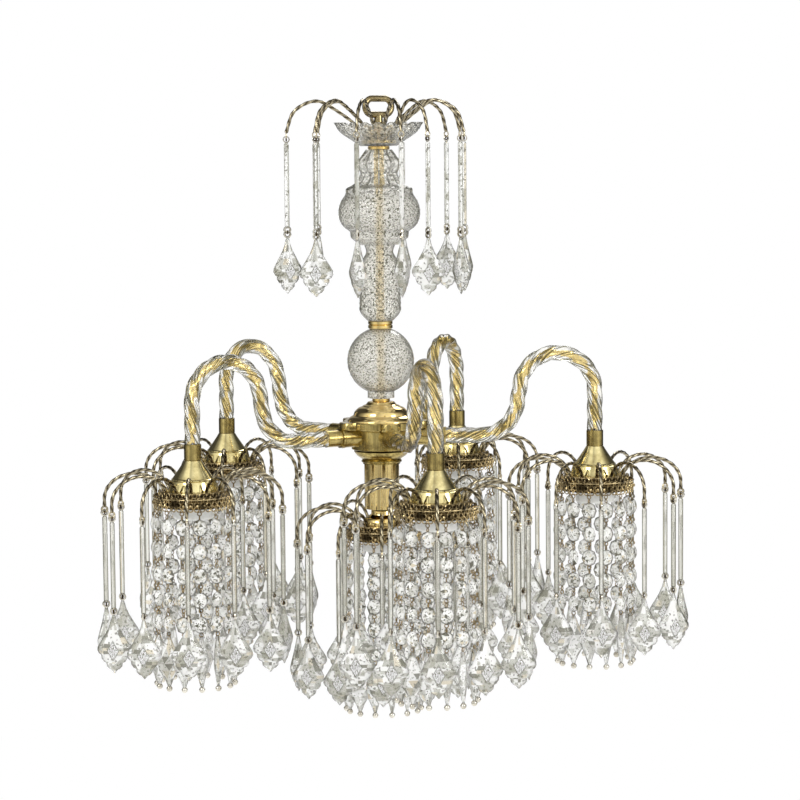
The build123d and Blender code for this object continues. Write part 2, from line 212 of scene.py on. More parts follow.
def lathe(profile, around, relief=None, closed=False, lift=None):
    """A turned surface: points (radius, height) carried round the upright; relief(angle, height) adds to the
    radius and lift(angle, height) to the height."""
    profile = np.asarray(profile, float)
    turn = np.linspace(0, 2 * np.pi, around, endpoint=False)[None, :]
    height = np.repeat(profile[:, 1:], around, axis=1)
    radius = profile[:, :1] + (relief(turn, height) if relief else 0 * turn)
    level = height + (lift(turn, height) if lift else 0)
    return skin(np.stack([radius * np.cos(turn), radius * np.sin(turn), level], -1), closed)


def hollow(outline, thickness, count):
    """A vessel's closed profile: its outside upwards, then its inside down, a wall's thickness further in."""
    outside = evenly(outline, count)
    inside = outside[::-1].copy()
    inside[:, 0] = np.maximum(inside[:, 0] - thickness, glass_bore)
    return np.concatenate([outside, inside])


def winding(path, radius, around, twist):
    """For each step and corner of a bar: the length so far, the corner's angle, its phase, which is the angle
    less one turn in each twist of length, and the radius there, a number or radius(phase)."""
    length = np.append(0, np.cumsum(np.linalg.norm(np.diff(path, axis=0), axis=1)))[:, None]
    angle = np.linspace(0, 2 * np.pi, around, endpoint=False)[None, :]
    phase = angle - (2 * np.pi * length / twist if twist else 0 * length)
    return length, angle, phase, radius(phase) if callable(radius) else radius + 0 * phase


def bar(path, radius, around, twist=None, closed=False):
    """A bar along a flat path of (reach, height): at each step a ring square to the path."""
    path = np.asarray(path, float)
    along = np.roll(path, -1, 0) - np.roll(path, 1, 0) if closed else np.gradient(path, axis=0)
    along /= np.linalg.norm(along, axis=1, keepdims=True)
    _, angle, _, reach = winding(path, radius, around, twist)
    out, aside = reach * np.cos(angle), reach * np.sin(angle)
    rings = [path[:, :1] - out * along[:, 1:], aside, path[:, 1:] + out * along[:, :1]]
    return skin(np.stack(rings, -1), closed)


def unwound(path, radius, around, twist):
    """Where a bar's points would be if it were straight, along x, and untwisted: its grain follows these."""
    length, _, phase, reach = winding(path, radius, around, twist)
    return np.stack([length + 0 * phase, reach * np.cos(phase), reach * np.sin(phase)], -1).reshape(-1, 3)


def eye(radius, wire, steps=12, around=6):
    """An upright ring in the plane of reach and height, centred on the origin."""
    return bar(arc((0, 0), radius, 0, 360 * (1 - 1 / steps), steps), wire, around, closed=True)


def ball(radius, around=12, bands=8):
    """A ball of bands, its poles closed by small faces."""
    tilt = np.radians(np.linspace(-88, 88, bands + 1))
    return lathe(np.stack([radius * np.cos(tilt), radius * np.sin(tilt)], -1), around)


def star_cut(rings, corners=8):
    """A round stone along z: rings of (height, half width, half length), each turned by half a corner from
    the one before, so that two triangles per corner lie between them; flat tables end it."""
    height, wide, tall = np.asarray(rings, float).T[:, :, None]
    turn = (np.arange(corners) + 0.5 * (np.arange(len(rings))[:, None] % 2)) * 2 * np.pi / corners
    points = np.stack([wide * np.cos(turn), tall * np.sin(turn), height + 0 * turn], -1).reshape(-1, 3)
    index = np.arange(len(points)).reshape(len(rings), corners)
    triangles = []
    for ring in range(len(rings) - 1):
        low, high = index[ring], index[ring + 1]
        upper = high if ring % 2 == 0 else np.roll(high, -1)  # the upper corner between two lower ones
        triangles.append(np.stack([low, np.roll(low, -1), upper], -1))
        triangles.append(np.stack([upper, np.roll(upper, 1), low], -1))
    triangles = np.concatenate(triangles)
    corner_list = np.concatenate([triangles.ravel(), index[0, ::-1], index[-1]])
    return points, corner_list, np.append(np.full(len(triangles), 3), [corners, corners])


def gem(stations, corners):
    """A cut stone: at each station (height, half width, half depth) the corners, scaled to that size."""
    stations, corners = np.asarray(stations, float), np.asarray(corners, float)
    rings = np.empty((len(stations), len(corners), 3))
    rings[:, :, 0] = stations[:, 1:2] * corners[:, 0]
    rings[:, :, 1] = stations[:, 2:3] * corners[:, 1]
    rings[:, :, 2] = stations[:, :1]
    return skin(rings)


def facing(shape, axes, signs=(1, 1, 1)):
    """The shape with its axes in another order and each turned round by its sign."""
    return shape[0][:, axes] * signs, shape[1], shape[2]


# ---- meshes
def put(name, data):
    """A new object in the scene."""
    made = bpy.data.objects.new(name, data)
    scene.collection.objects.link(made)
    return made


def lay(name, shape, finish, node=None, slot="polished_brass", own=None, smooth=35, body="frame"):
    """Lays a shape into a mesh in metres, over the solid it replaces, node. Each face gets an even random
    share, glint, and each point its place on its own copy of the shape, own, in millimetres. Edges sharper
    than smooth degrees stay sharp."""
    points, corners, sizes = shape
    mesh = bpy.data.meshes.new(name)
    mesh.vertices.add(len(points))
    mesh.vertices.foreach_set("co", (points * MM).astype(np.float32).ravel())
    mesh.loops.add(len(corners))
    mesh.loops.foreach_set("vertex_index", corners.astype(np.int32))
    mesh.polygons.add(len(sizes))
    mesh.polygons.foreach_set("loop_start", (np.cumsum(sizes) - sizes).astype(np.int32))
    mesh.update(calc_edges=True)
    mesh.validate()
    glint = mesh.attributes.new("glint", "FLOAT", "FACE")
    glint.data.foreach_set("value", rng.random(len(sizes)).astype(np.float32))
    place = mesh.attributes.new("own", "FLOAT_VECTOR", "POINT")
    local = points if own is None else np.resize(own, points.shape)
    place.data.foreach_set("vector", local.astype(np.float32).ravel())
    if smooth:
        mesh.shade_smooth()
        mesh.set_sharp_from_angle(angle=np.radians(smooth))
    mesh.materials.append(finish)
    piece = put(name, mesh)
    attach(piece, body)
    if node:
        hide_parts(node)


def lay_turned(name, node, profile, around, finish, level=0.0, slot="polished_brass", **more):
    """Lays a turned piece, raised to a level; more goes to lathe."""
    lay(name, shifted(lathe(profile, around, **more), z=level), finish, node, slot)


def lay_at_lamp(kind, number, shape, finish, slot, node=None, own=None, smooth=35):
    """Lays a piece at a lamp; its grain follows its place before that move."""
    moved = shifted(shape, *lamp_places[number - 1])
    grain = shape[0] if own is None else own
    lay(f"{kind}_{number}", moved, finish, node and f"{node}_{number}", slot, grain, smooth)


# ---- finishes
def fill(tree, socket, value):
    """Links a socket to another one, or sets its value; a colour may be given as three numbers."""
    if isinstance(value, bpy.types.NodeSocket):
        tree.links.new(value, socket)
    elif socket.type == "RGBA":
        socket.default_value = (*value[:3], 1)
    else:
        socket.default_value = value


class Nodes:
    """A node tree being wired; any socket may be given a value or another socket."""

    def __init__(self, tree):
        self.tree = tree

    def node(self, kind, out=0, settings=None, **sockets):
        """Adds a node. A socket is named, or numbered after an underscore."""
        made = self.tree.nodes.new("ShaderNode" + kind)
        for key, value in (settings or {}).items():
            setattr(made, key, value)
        for key, value in sockets.items():
            socket = made.inputs[int(key[1:])] if key[1:].isdigit() else made.inputs[key.replace("_", " ")]
            fill(self.tree, socket, value)
        return made.outputs[out]

    def ramp(self, fac, *stops):
        """Colours between stops of (position, colour)."""
        made = self.tree.nodes.new("ShaderNodeValToRGB")
        elements = made.color_ramp.elements
        while len(elements) < len(stops):
            elements.new(1)
        for element, (position, colour) in zip(elements, stops):
            element.position = position
            element.color = (*colour, 1) if isinstance(colour, tuple) else (colour,) * 3 + (1,)
        self.tree.links.new(fac, made.inputs[0])
        return made.outputs[0]

    def maths(self, operation, a, b=0.0):
        return self.node("Math", settings={"operation": operation}, _0=a, _1=b)

    def times(self, a, b):
        return self.maths("MULTIPLY", a, b)

    def mix(self, fac, a, b, blend="MIX"):
        settings = {"data_type": "RGBA", "blend_type": blend}
        return self.node("Mix", 2, settings, Factor=fac, _6=a, _7=b)

    def own(self, scale=(1, 1, 1)):
        """Places on the piece's own copy of its shape, in millimetres, scaled."""
        place = self.node("Attribute", 1, {"attribute_name": "own"})
        return self.node("Mapping", Vector=place, Scale=scale)

    def noise(self, scale, detail, along=(1, 1, 1), **more):
        """Noise over the piece's own places."""
        return self.node("TexNoise", Vector=self.own(along), Scale=scale, Detail=detail, **more)

    def cells(self, out, scale, **more):
        """Cells round scattered points: output 0 is how far the nearest is, and 1 its random colour."""
        return self.node("TexVoronoi", out, {"feature": "F1"}, Vector=self.own(), Scale=scale, **more)

    def bump(self, strength, distance, height, **more):
        return self.node("Bump", Strength=strength, Distance=distance, Height=height, **more)


socket_kinds = {"Colour": "NodeSocketColor", "Roughness": "NodeSocketFloat", "Normal": "NodeSocketVector"}


def group(name, colours, numbers, outputs, wire):
    """A shader node group with named inputs, for colours and numbers, and named outputs, which
    wire(nodes, input sockets) returns."""
    tree = bpy.data.node_groups.new(name, "ShaderNodeTree")
    for label in colours + numbers:
        kind = "NodeSocketColor" if label in colours else "NodeSocketFloat"
        tree.interface.new_socket(label, in_out="INPUT", socket_type=kind)
    for label in outputs:
        tree.interface.new_socket(label, in_out="OUTPUT", socket_type=socket_kinds[label])
    entry = tree.nodes.new("NodeGroupInput")
    leave = tree.nodes.new("NodeGroupOutput")
    for made, socket in zip(wire(Nodes(tree), entry.outputs), leave.inputs):
        tree.links.new(made, socket)
    return tree


def material(name, wire, **sockets):
    """A material: plain numbers go on the shader's own sockets; wire(nodes) returns what feeds others."""
    made = bpy.data.materials.new(name)
    made.use_nodes = True
    shader = made.node_tree.nodes["Principled BSDF"]
    for key, value in sockets.items():
        shader.inputs[key.replace("_", " ")].default_value = value
    nodes = Nodes(made.node_tree)
    for key, socket in wire(nodes).items():
        made.node_tree.links.new(socket, shader.inputs[key.replace("_", " ")])
    return made


def use(nodes, tree, **sockets):
    """Places a node group with its inputs set, and returns its outputs by name."""
    made = nodes.tree.nodes.new("ShaderNodeGroup")
    made.node_tree = tree
    for key, value in sockets.items():
        fill(nodes.tree, made.inputs[key.replace("_", " ")], value)
    return made.outputs


# Painted light on the glass: the dark olive is painted shade at glass edges and in dark facets, flecks, lines
# and streaks; the warm facet tone is a painted reflection of the brass, and the facet shade is painted shade.
painted_shade_olive = (0.07, 0.065, 0.035)
painted_brass_glint = (0.62, 0.5, 0.26)
facet_shade = (0.26, 0.25, 0.17)
facet_dents = 0.06


def wear_wiring(nodes, given):
    """Lacquered metal: cloudy tarnish, rougher where it lies, and fine scratches in the normal."""
    cloud = nodes.ramp(nodes.noise(0.09, 5.0, Roughness=0.6), (0.38, 0.0), (0.66, 1.0))
    colour = nodes.mix(nodes.times(cloud, given["Tarnish"]), given["Colour"], given["Tarnish colour"])
    rougher = nodes.times(cloud, nodes.times(given["Tarnish"], 0.16))
    rough = nodes.maths("ADD", given["Roughness"], rougher)
    return colour, rough, nodes.bump(given["Scratches"], 0.0002, nodes.noise(1.4, 3.0))


worn_metal = group(
    "worn metal", ["Colour", "Tarnish colour"], ["Tarnish", "Roughness", "Scratches"],
    ["Colour", "Roughness", "Normal"], wear_wiring,
)


def facet_wiring(nodes, given):
    """Facets of cut crystal, toned with painted light: each face takes one of a light, a middle, a warm and a
    dark tone by its random share, the middle and dark tones painted shade and the warm one a painted
    reflection of brass; whole stretches of the glass get painted shade, and small dark flecks of painted
    reflection are strewn over it all."""
    glint = nodes.node("Attribute", 2, {"attribute_name": "glint"})
    chance = nodes.node("SeparateColor", 0, Color=nodes.cells(1, given["Fleck scale"]))
    plain = nodes.mix(nodes.ramp(glint, (0.36, 0.0), (0.5, 1.0)), given["Middle"], given["Light"])
    # Painted reflection of brass on a few faces.
    warm = nodes.mix(nodes.ramp(glint, (0.93, 0.0), (0.94, 0.7)), plain, given["Warm"])
    everywhere = nodes.node("TexCoord", 3)
    # Painted shade over whole stretches of the glass.
    stretch = nodes.node("TexNoise", Vector=everywhere, Scale=70.0, Detail=0.0)
    shaded = nodes.times(nodes.ramp(stretch, (0.38, 1.0), (0.43, 0.0)), given["Shading"])
    toned = nodes.mix(shaded, warm, given["Shade"])
    # Painted shade: dark faces and dark flecks.
    dark_face = nodes.ramp(glint, (0.06, 1.0), (0.11, 0.0))
    dark_fleck = nodes.maths("LESS_THAN", chance, given["Flecks"])
    dark = nodes.times(nodes.maths("MAXIMUM", dark_face, dark_fleck), given["Dark amount"])
    normal = nodes.bump(given["Sparkle"], 0.001, nodes.noise(given["Fleck scale"], 1.0))
    return nodes.mix(dark, toned, given["Dark"]), nodes.times(chance, 0.06), normal


cut_facets = group(
    "cut facets", ["Light", "Middle", "Warm", "Shade", "Dark"],
    ["Shading", "Dark amount", "Flecks", "Fleck scale", "Sparkle"], ["Colour", "Roughness", "Normal"],
    facet_wiring,
)


def stipple_wiring(nodes, given):
    """Moulded pits: round cells sunk into the surface, painted shade darker away from each cell's middle,
    dark flecks of painted reflection, and a normal from the cells' depth.
    """
    cells = nodes.cells(0, given["Scale"], Randomness=0.65)
    # Painted dark reflections as flecks, and painted shade darker away from each pit's middle.
    fleck = nodes.ramp(nodes.noise(given["Scale"], 3.0), (0.43, 1.0), (0.46, 0.0))
    shade = nodes.mix(nodes.ramp(cells, (0.3, 0.0), (0.75, 0.55)), given["Colour"], given["Fleck colour"])
    colour = nodes.mix(nodes.times(fleck, given["Flecks"]), shade, given["Fleck colour"])
    return colour, nodes.bump(given["Depth"], 0.0012, cells)


stipple = group(
    "stipple", ["Colour", "Fleck colour"], ["Scale", "Flecks", "Depth"], ["Colour", "Normal"], stipple_wiring,
)


def metal(name, colour, tarnish_and_groove_shade, tarnish, roughness, scratches, brushed=None, grooves=None):
    """A worn metal; brushed is the scale of its streaks along (x, y, z), and grooves the radii of an unwound
    bar between which it goes from dark to bright: painted shade in the grooves, in the tarnish colour."""

    def wire(nodes):
        worn = use(
            nodes, worn_metal, Colour=colour, Tarnish_colour=tarnish_and_groove_shade, Tarnish=tarnish,
            Roughness=roughness, Scratches=scratches,
        )
        fed = {"Base_Color": worn["Colour"], "Roughness": worn["Roughness"], "Normal": worn["Normal"]}
        if brushed:
            streaks = nodes.noise(1.0, 4.0, brushed)
            shade = nodes.ramp(streaks, (0.35, 0.6), (0.65, 1.0))
            fed["Base_Color"] = nodes.mix(1.0, worn["Colour"], shade, "MULTIPLY")
            fed["Normal"] = nodes.bump(0.25, 0.0003, streaks, Normal=worn["Normal"])
        if grooves:
            radius = nodes.node("VectorMath", 1, {"operation": "LENGTH"}, _0=nodes.own((0, 1, 1)))
            bright = nodes.node("MapRange", Value=radius, From_Min=grooves[0], From_Max=grooves[1])
            # Painted shade: dark deep in the grooves between the strands, bright on their crowns.
            fed["Base_Color"] = nodes.mix(bright, tarnish_and_groove_shade, worn["Colour"])
        return fed

    return material(name, wire, Metallic=1.0)


# name, colour, tarnish colour, tarnish, roughness, scratches
polished_brass = metal("polished brass", (0.80, 0.62, 0.27), (0.46, 0.33, 0.11), 0.35, 0.07, 0.03)
# The bell caps' brass is lightened past the polished brass, a painted highlight for the light they catch.
lit_cap_brass = metal("cap brass", (0.84, 0.73, 0.37), (0.3, 0.22, 0.06), 0.6, 0.08, 0.03)
satin_brass = metal(
    "satin brass", (0.66, 0.52, 0.19), (0.15, 0.10, 0.03), 0.75, 0.13, 0.05, brushed=(1.6, 1.6, 0.03),
)
filigree_brass = metal("filigree brass", (0.64, 0.50, 0.26), (0.05, 0.035, 0.015), 1.0, 0.2, 0.3)
# The twisted wire's tarnish colour is also its painted shade in the grooves.
twisted_wire = metal(
    "twisted wire", (0.66, 0.58, 0.4), (0.07, 0.055, 0.03), 0.5, 0.2, 0.2, grooves=(1.42, 1.76),
)
antique_brass = metal("antique brass", (0.36, 0.29, 0.15), (0.07, 0.05, 0.02), 1.0, 0.14, 0.3)
bronze_link = metal("bronze link", (0.30, 0.22, 0.10), (0.08, 0.05, 0.02), 0.8, 0.25, 0.2)
ribbon_brass = metal("ribbon brass", (0.92, 0.72, 0.28), (0.62, 0.44, 0.12), 0.5, 0.16, 0.3)
silver = metal("silver", (0.80, 0.77, 0.68), (0.28, 0.24, 0.16), 0.7, 0.08, 0.05)
# Dark bronze of the links; the same finish makes the sheet of painted shade behind each gallery.
dark_bronze_and_shade = metal("dark bronze", (0.09, 0.06, 0.025), (0.02, 0.014, 0.006), 0.9, 0.35, 0.3)


def glass_colour(nodes, colour, rim):
    """Colour of glass where it is seen first, darkened towards its turned-away edges as painted shade; clear
    where it is seen through other glass. rim is how dark that painted edge shade gets and how far a surface
    is turned away where it starts and ends."""
    amount, start, end = rim
    away = nodes.node("LayerWeight", 1, Blend=0.5)
    # Painted shade: dark olive towards the turned-away edges.
    edge = nodes.times(nodes.ramp(away, (start, 0.0), (end, 1.0)), amount)
    seen_first = nodes.node("LightPath", 0)
    return nodes.mix(seen_first, (1, 1, 1), nodes.mix(edge, colour, painted_shade_olive))


def pressed_diamond(nodes, colour, normal, half_width, half_height, level):
    """Colour and normal with a diamond of small pits inside a dark line of painted shade, the pits flecked
    with painted dark reflections, its middle at a level. A place is inside where its share of the half width
    and its share of the half height add up to less than one."""
    place = nodes.tree.nodes.new("ShaderNodeSeparateXYZ")
    nodes.tree.links.new(nodes.own(), place.inputs[0])
    side = nodes.maths("DIVIDE", nodes.maths("ABSOLUTE", place.outputs[1]), half_width)
    rise = nodes.maths("ABSOLUTE", nodes.maths("SUBTRACT", place.outputs[2], level))
    reach = nodes.maths("ADD", side, nodes.maths("DIVIDE", rise, half_height))
    inside = nodes.maths("LESS_THAN", reach, 1.0)
    half_reach = nodes.times(reach, 0.5)
    # Painted shade: the dark line round the diamond.
    line = nodes.ramp(half_reach, (0.44, 0.0), (0.48, 0.7), (0.54, 0.7), (0.58, 0.0))
    pits = use(nodes, stipple, Colour=(1, 1, 1), Fleck_colour=painted_shade_olive, Scale=0.9, Flecks=1.0, Depth=0.5)
    colour = nodes.mix(line, nodes.mix(inside, colour, pits["Colour"]), painted_shade_olive)
    settings = {"data_type": "VECTOR"}
    return colour, nodes.node("Mix", 1, settings, Factor=inside, _4=normal, _5=pits["Normal"])


def crystal(name, light, middle, dark_amount, flecks, scale, transmission, ior, rim, shading, pressed=()):
    """Cut crystal; what isn't let through is the sparkle of its facets, toned with painted reflections and
    shade, painted flecks and painted shade at its edges. pressed is the half width, half height and middle
    height of a diamond of small pits."""

    def wire(nodes):
        facets = use(
            nodes, cut_facets, Light=light, Middle=middle, Warm=painted_brass_glint, Shade=facet_shade,
            Dark=painted_shade_olive, Dark_amount=dark_amount, Flecks=flecks, Fleck_scale=scale,
            Sparkle=facet_dents, Shading=shading,
        )
        colour, normal = facets["Colour"], facets["Normal"]
        if pressed:
            colour, normal = pressed_diamond(nodes, colour, normal, *pressed)
        return {
            "Base_Color": glass_colour(nodes, colour, rim),
            "Roughness": facets["Roughness"],
            "Normal": normal,
        }

    return material(name, wire, Transmission_Weight=transmission, IOR=ior)


# name, light tone, middle tone, amount of dark, share and scale of flecks, transmission, IOR, rim, shading
# The middle tones, the dark, the flecks, the shading and the rims below are painted reflections and shade on
# clear crystal.
bead_crystal = crystal(
    "bead crystal", (1, 1, 0.96), (0.74, 0.74, 0.67), 0.95, 0.14, 1.0, 0.55, 1.3, (0.9, 0.5, 0.84), 0.35,
)
pendant_crystal = crystal(
    "pendant crystal", (0.95, 0.95, 0.91), (0.5, 0.5, 0.43), 0.8, 0.12, 0.55, 0.72, 1.35, (0.95, 0.42, 0.8),
    0.75, pressed=(5.6, 9.5, -34.0),
)
kite_crystal = crystal(
    "kite crystal", (1, 1, 0.96), (0.66, 0.66, 0.6), 0.8, 0.14, 1.0, 0.65, 1.3, (0.9, 0.45, 0.82), 0.55,
)
rod_crystal = crystal(
    "rod crystal", (0.78, 0.77, 0.68), (0.5, 0.49, 0.4), 0.2, 0.0, 0.12, 0.85, 1.3, (1.0, 0.08, 0.38), 0.45,
)


def moulded_glass(name, scale, flecks, depth, transmission, rim):
    """Moulded glass with a stippled surface, with painted shade and painted dark reflections in its pits,
    flecks and edges.
    """

    def wire(nodes):
        pits = use(
            nodes, stipple, Colour=(1.0, 0.98, 0.87), Fleck_colour=painted_shade_olive, Scale=scale, Flecks=flecks,
            Depth=depth,
        )
        return {"Base_Color": glass_colour(nodes, pits["Colour"], rim), "Normal": pits["Normal"]}

    return material(name, wire, Transmission_Weight=transmission, IOR=1.38, Roughness=0.02)


# name, scale of the pits, share of flecks, depth, transmission, rim
dish_glass = moulded_glass("dish glass", 0.42, 0.85, 0.2, 0.84, (0.95, 0.3, 0.72))
neck_glass = moulded_glass("neck glass", 0.35, 0.8, 0.1, 0.85, (0.95, 0.2, 0.6))
vase_glass = moulded_glass("vase glass", 0.6, 1.0, 0.12, 0.72, (0.9, 0.4, 0.85))
tumbler_glass = moulded_glass("tumbler glass", 0.5, 1.0, 0.14, 0.78, (0.95, 0.3, 0.74))
ball_glass = moulded_glass("ball glass", 0.65, 1.0, 0.15, 0.7, (0.9, 0.4, 0.85))


def sleeve_wiring(nodes):
    """Clear glass drawn in long streaks that bend what is seen through it; some streaks are painted dark,
    as painted shade.
    """
    streaks = nodes.noise(1.0, 2.0, (0.045, 0.65, 0.65))
    # Painted shade: the dark streaks.
    streak_shade = nodes.ramp(streaks, (0.48, painted_shade_olive), (0.51, (0.98, 0.97, 0.9)))
    return {
        "Base_Color": glass_colour(nodes, streak_shade, (0.95, 0.26, 0.62)),
        "Normal": nodes.bump(0.6, 0.0008, streaks),
    }


sleeve_glass = material("sleeve glass", sleeve_wiring, Transmission_Weight=0.95, IOR=1.4, Roughness=0.02)


def porcelain_wiring(nodes):
    """Nearly white, with faint clouds and a slight orange peel."""
    clouds = nodes.noise(0.12, 3.0)
    return {
        "Base_Color": nodes.ramp(clouds, (0.3, (0.80, 0.80, 0.76)), (0.7, (0.9, 0.9, 0.87))),
        "Roughness": nodes.ramp(clouds, (0.3, 0.22), (0.7, 0.36)),
        "Normal": nodes.bump(0.08, 0.0003, nodes.noise(1.2, 2.0)),
    }


holder_white = material("holder white", porcelain_wiring)


# ---- loop, collar, washers
oval_half = (loop_hole[0] - loop_hole[1]) / 2
oval_radius = (loop_hole[1] + loop_bar) / 2
right_end = arc((oval_half, 0), oval_radius, -90, 90, 14)
left_end = arc((-oval_half, 0), oval_radius, 90, 270, 14)


def loop_section(angle):
    """The loop bar's radius at an angle: a little less aside than outwards."""
    return loop_bar / 2 * (0.93 + 0.07 * np.cos(2 * angle))


loop_oval = bar(np.concatenate([right_end, left_end]), loop_section, 16, closed=True)
loop_ring = copies(shifted(loop_oval, z=-loop_hole[1] / 2), turns(loop_turn))
loop_foot, disc_top = -(loop_hole[1] + loop_bar), foot("hanging_loop")
shank = [
    (pole, disc_top), (5.4, disc_top), (5.6, disc_top + 2.2), (4.5, disc_top + 3), (4.2, loop_foot),
    (4.0, loop_foot + 2.4), (pole, loop_foot + 2.4),
]
loop_with_shank = joined(loop_ring, lathe(shank, 24))
lay("loop", loop_with_shank, antique_brass, "hanging_loop")


def washer(level, radius, height, groove):
    """A turned washer with rounded rims and a groove round its middle."""
    rim, middle = min(0.8, height / 4), height / 2
    profile = [
        (metal_bore, 0), (radius - rim, 0), (radius, rim), (radius, middle - groove),
        (radius - groove, middle), (radius, middle + groove), (radius, height - rim), (radius - rim, height),
        (metal_bore, height),
    ]
    return shifted(lathe(profile, 48, closed=True), z=level)


collar_top, dish_foot, vase_top = top("spray_collar"), foot("top_dish"), foot("neck_glass")
tumbler_top, tumbler_foot, ball_top = foot("vase_glass"), foot("tumbler_glass"), top("ball_glass")
ball_foot = foot("ball_glass")
washers = joined(
    washer(collar_top, top_disc_radius, disc_top - collar_top, 0.3),
    washer(dish_foot - washer_heights[0], washer_radii[0], washer_heights[0], 0.3),
    washer(ball_top, washer_radii[1], washer_heights[1], 0.9),
    washer(ball_foot - washer_heights[2], washer_radii[2], washer_heights[2], 0.4),
)
lay("washers", washers, polished_brass, "column_washers")
collar_foot = foot("spray_collar")
collar = [
    (metal_bore, collar_foot), (16.2, collar_foot), (17, collar_foot + 0.8), (17, flange_top - 0.8),
    (16.2, flange_top), (10.5, flange_top), (9, flange_top + 1.2), (9, collar_top - 0.6), (8.4, collar_top),
    (metal_bore, collar_top),
]
lay_turned("collar", "spray_collar", collar, 48, polished_brass, closed=True)
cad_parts["centre_tube"].data.materials[0] = polished_brass

# ---- glass of the column
dish_rise, dish_floor, dish_cut, dish_dip, scallops = 23.5, 4, 0.9, 1.4, 20
dish_outline = through([(18, 0), (28, 6.5), (38.5, 14), (44.8, dish_rise)], 40)
dish_inside = (dish_outline - [3.4, -1.6])[::-1][1:-4]
dish_profile = np.concatenate([[(glass_bore, 0)], dish_outline, dish_inside, [(glass_bore, dish_floor)]])
dish_profile[:, 1] = np.minimum(dish_profile[:, 1], dish_rise)


def dish_relief(turn, height):
    """Scallops that deepen to the rim, and a zigzag of cuts below it."""
    share = np.clip(height / dish_rise, 0, 1)
    side, rise = turn * scallops / np.pi, height / 3.2
    zigzag = np.abs(((side + rise) % 2) - 1) + np.abs(((side - rise) % 2) - 1)
    return -dish_cut * share**3 * (1 - np.cos(scallops * turn)) - dish_cut * share * (zigzag > 1.25)


def dish_lift(turn, height):
    """The rim dips between its scallops."""
    return -dish_dip * np.clip(height / dish_rise, 0, 1) ** 6 * (1 - np.cos(scallops * turn))


lay_turned(
    "dish", "top_dish", dish_profile, 320, dish_glass, dish_foot, "cut_glass",
    closed=True, relief=dish_relief, lift=dish_lift,
)

neck_outline = [(33.3, 0), (32.7, 4.5), (24.5, 9.5), (18.6, 19), (22.2, 29), (18, 36), (13, 43)]
bulge_start, flute_depth, panel_depth = 20, 2.0, 1.6


def neck_relief(turn, height):
    """Flutes over the cone and short panels over the bulge."""
    flutes = -flute_depth * np.abs(np.sin(8 * turn)) * (height < bulge_start)
    return flutes - panel_depth * np.abs(np.sin(6 * turn)) * (height >= bulge_start)


def diamonds(around, pitch, depth, low, high):
    """Relief of small pyramids between two heights: two diagonal folds, and where they cross, a point."""

    def relief(turn, height):
        rise, side = height / pitch, turn * around / (2 * np.pi)
        fold = np.maximum(np.abs((rise + side) % 1 - 0.5), np.abs((rise - side) % 1 - 0.5))
        return -2 * depth * fold * ((height > low) & (height < high))

    return relief


vase_foot = [(19.7, 0), (24, 3), (28.6, 7), (29, 9), (29.4, 13)]
vase_belly = [(30, 13.4), (36.5, 18.5), (40.3, 26), (40.9, 35), (38.4, 43.5), (34.5, 49), (33.5, 51.5)]
tumbler_foot_curve = through([(12.9, 0), (15.8, 3), (18.9, 6.5), (20.9, 11)], 20)
tumbler_neck_curve = through([(20.4, 57), (14.5, 66), (13.6, 70), (15.5, 76)], 24)
tumbler_outline = [*tumbler_foot_curve, (20.9, 56), *tumbler_neck_curve]
vase_outline = [*vase_foot, *through(vase_belly, 50)]
vase_cut, tumbler_cut = diamonds(36, 4.6, 0.8, 13, 47), diamonds(24, 5.0, 0.7, 14, 54)
vessels = [
    # piece, its finish, foot, outline, wall, points of the outline, corners around and relief
    ("neck", neck_glass, vase_top, through(neck_outline, 40), wall, 48, 216, neck_relief),
    ("vase", vase_glass, tumbler_top, vase_outline, wall, 110, 240, vase_cut),
    ("tumbler", tumbler_glass, tumbler_foot, tumbler_outline, tumbler_wall, 110, 180, tumbler_cut),
]
for name, glass, level, outline, thickness, count, around, relief in vessels:
    profile = hollow(outline, thickness, count)
    lay_turned(name, f"{name}_glass", profile, around, glass, level, "cut_glass", relief=relief, closed=True)

ball_radius = (span("ball_glass")[1] - span("ball_glass")[0])[0] / 2
ball_flat, ball_collar, ball_cut = 9.5, 13.7, 0.35
ball_cuts = (20, 26)  # around, and from pole to pole
ball_centre = ball_top - np.sqrt(ball_radius**2 - ball_flat**2)
collar_tilt = -np.degrees(np.arccos(ball_collar / ball_radius))
ball_low = ball_foot - ball_centre
ball_outside = np.concatenate([[(ball_collar, ball_low)], arc((0, 0), ball_radius, collar_tilt, 74, 90)])
ball_inside = arc((0, 0), ball_radius - wall, 80, -80, 50)
ball_profile = np.concatenate([[(glass_bore, ball_low)], ball_outside, ball_inside])


def ball_relief(turn, height):
    """Small pyramids all over, sinking towards the poles."""
    tilt = np.arcsin(np.clip(height / ball_radius, -1, 1))
    fold = np.sin(ball_cuts[0] * turn) * np.sin(ball_cuts[1] * tilt)
    return ball_cut * fold * np.cos(tilt) ** 2 - ball_cut


lay_turned(
    "ball", "ball_glass", ball_profile, 240, ball_glass, ball_centre, "cut_glass",
    closed=True, relief=ball_relief,
)

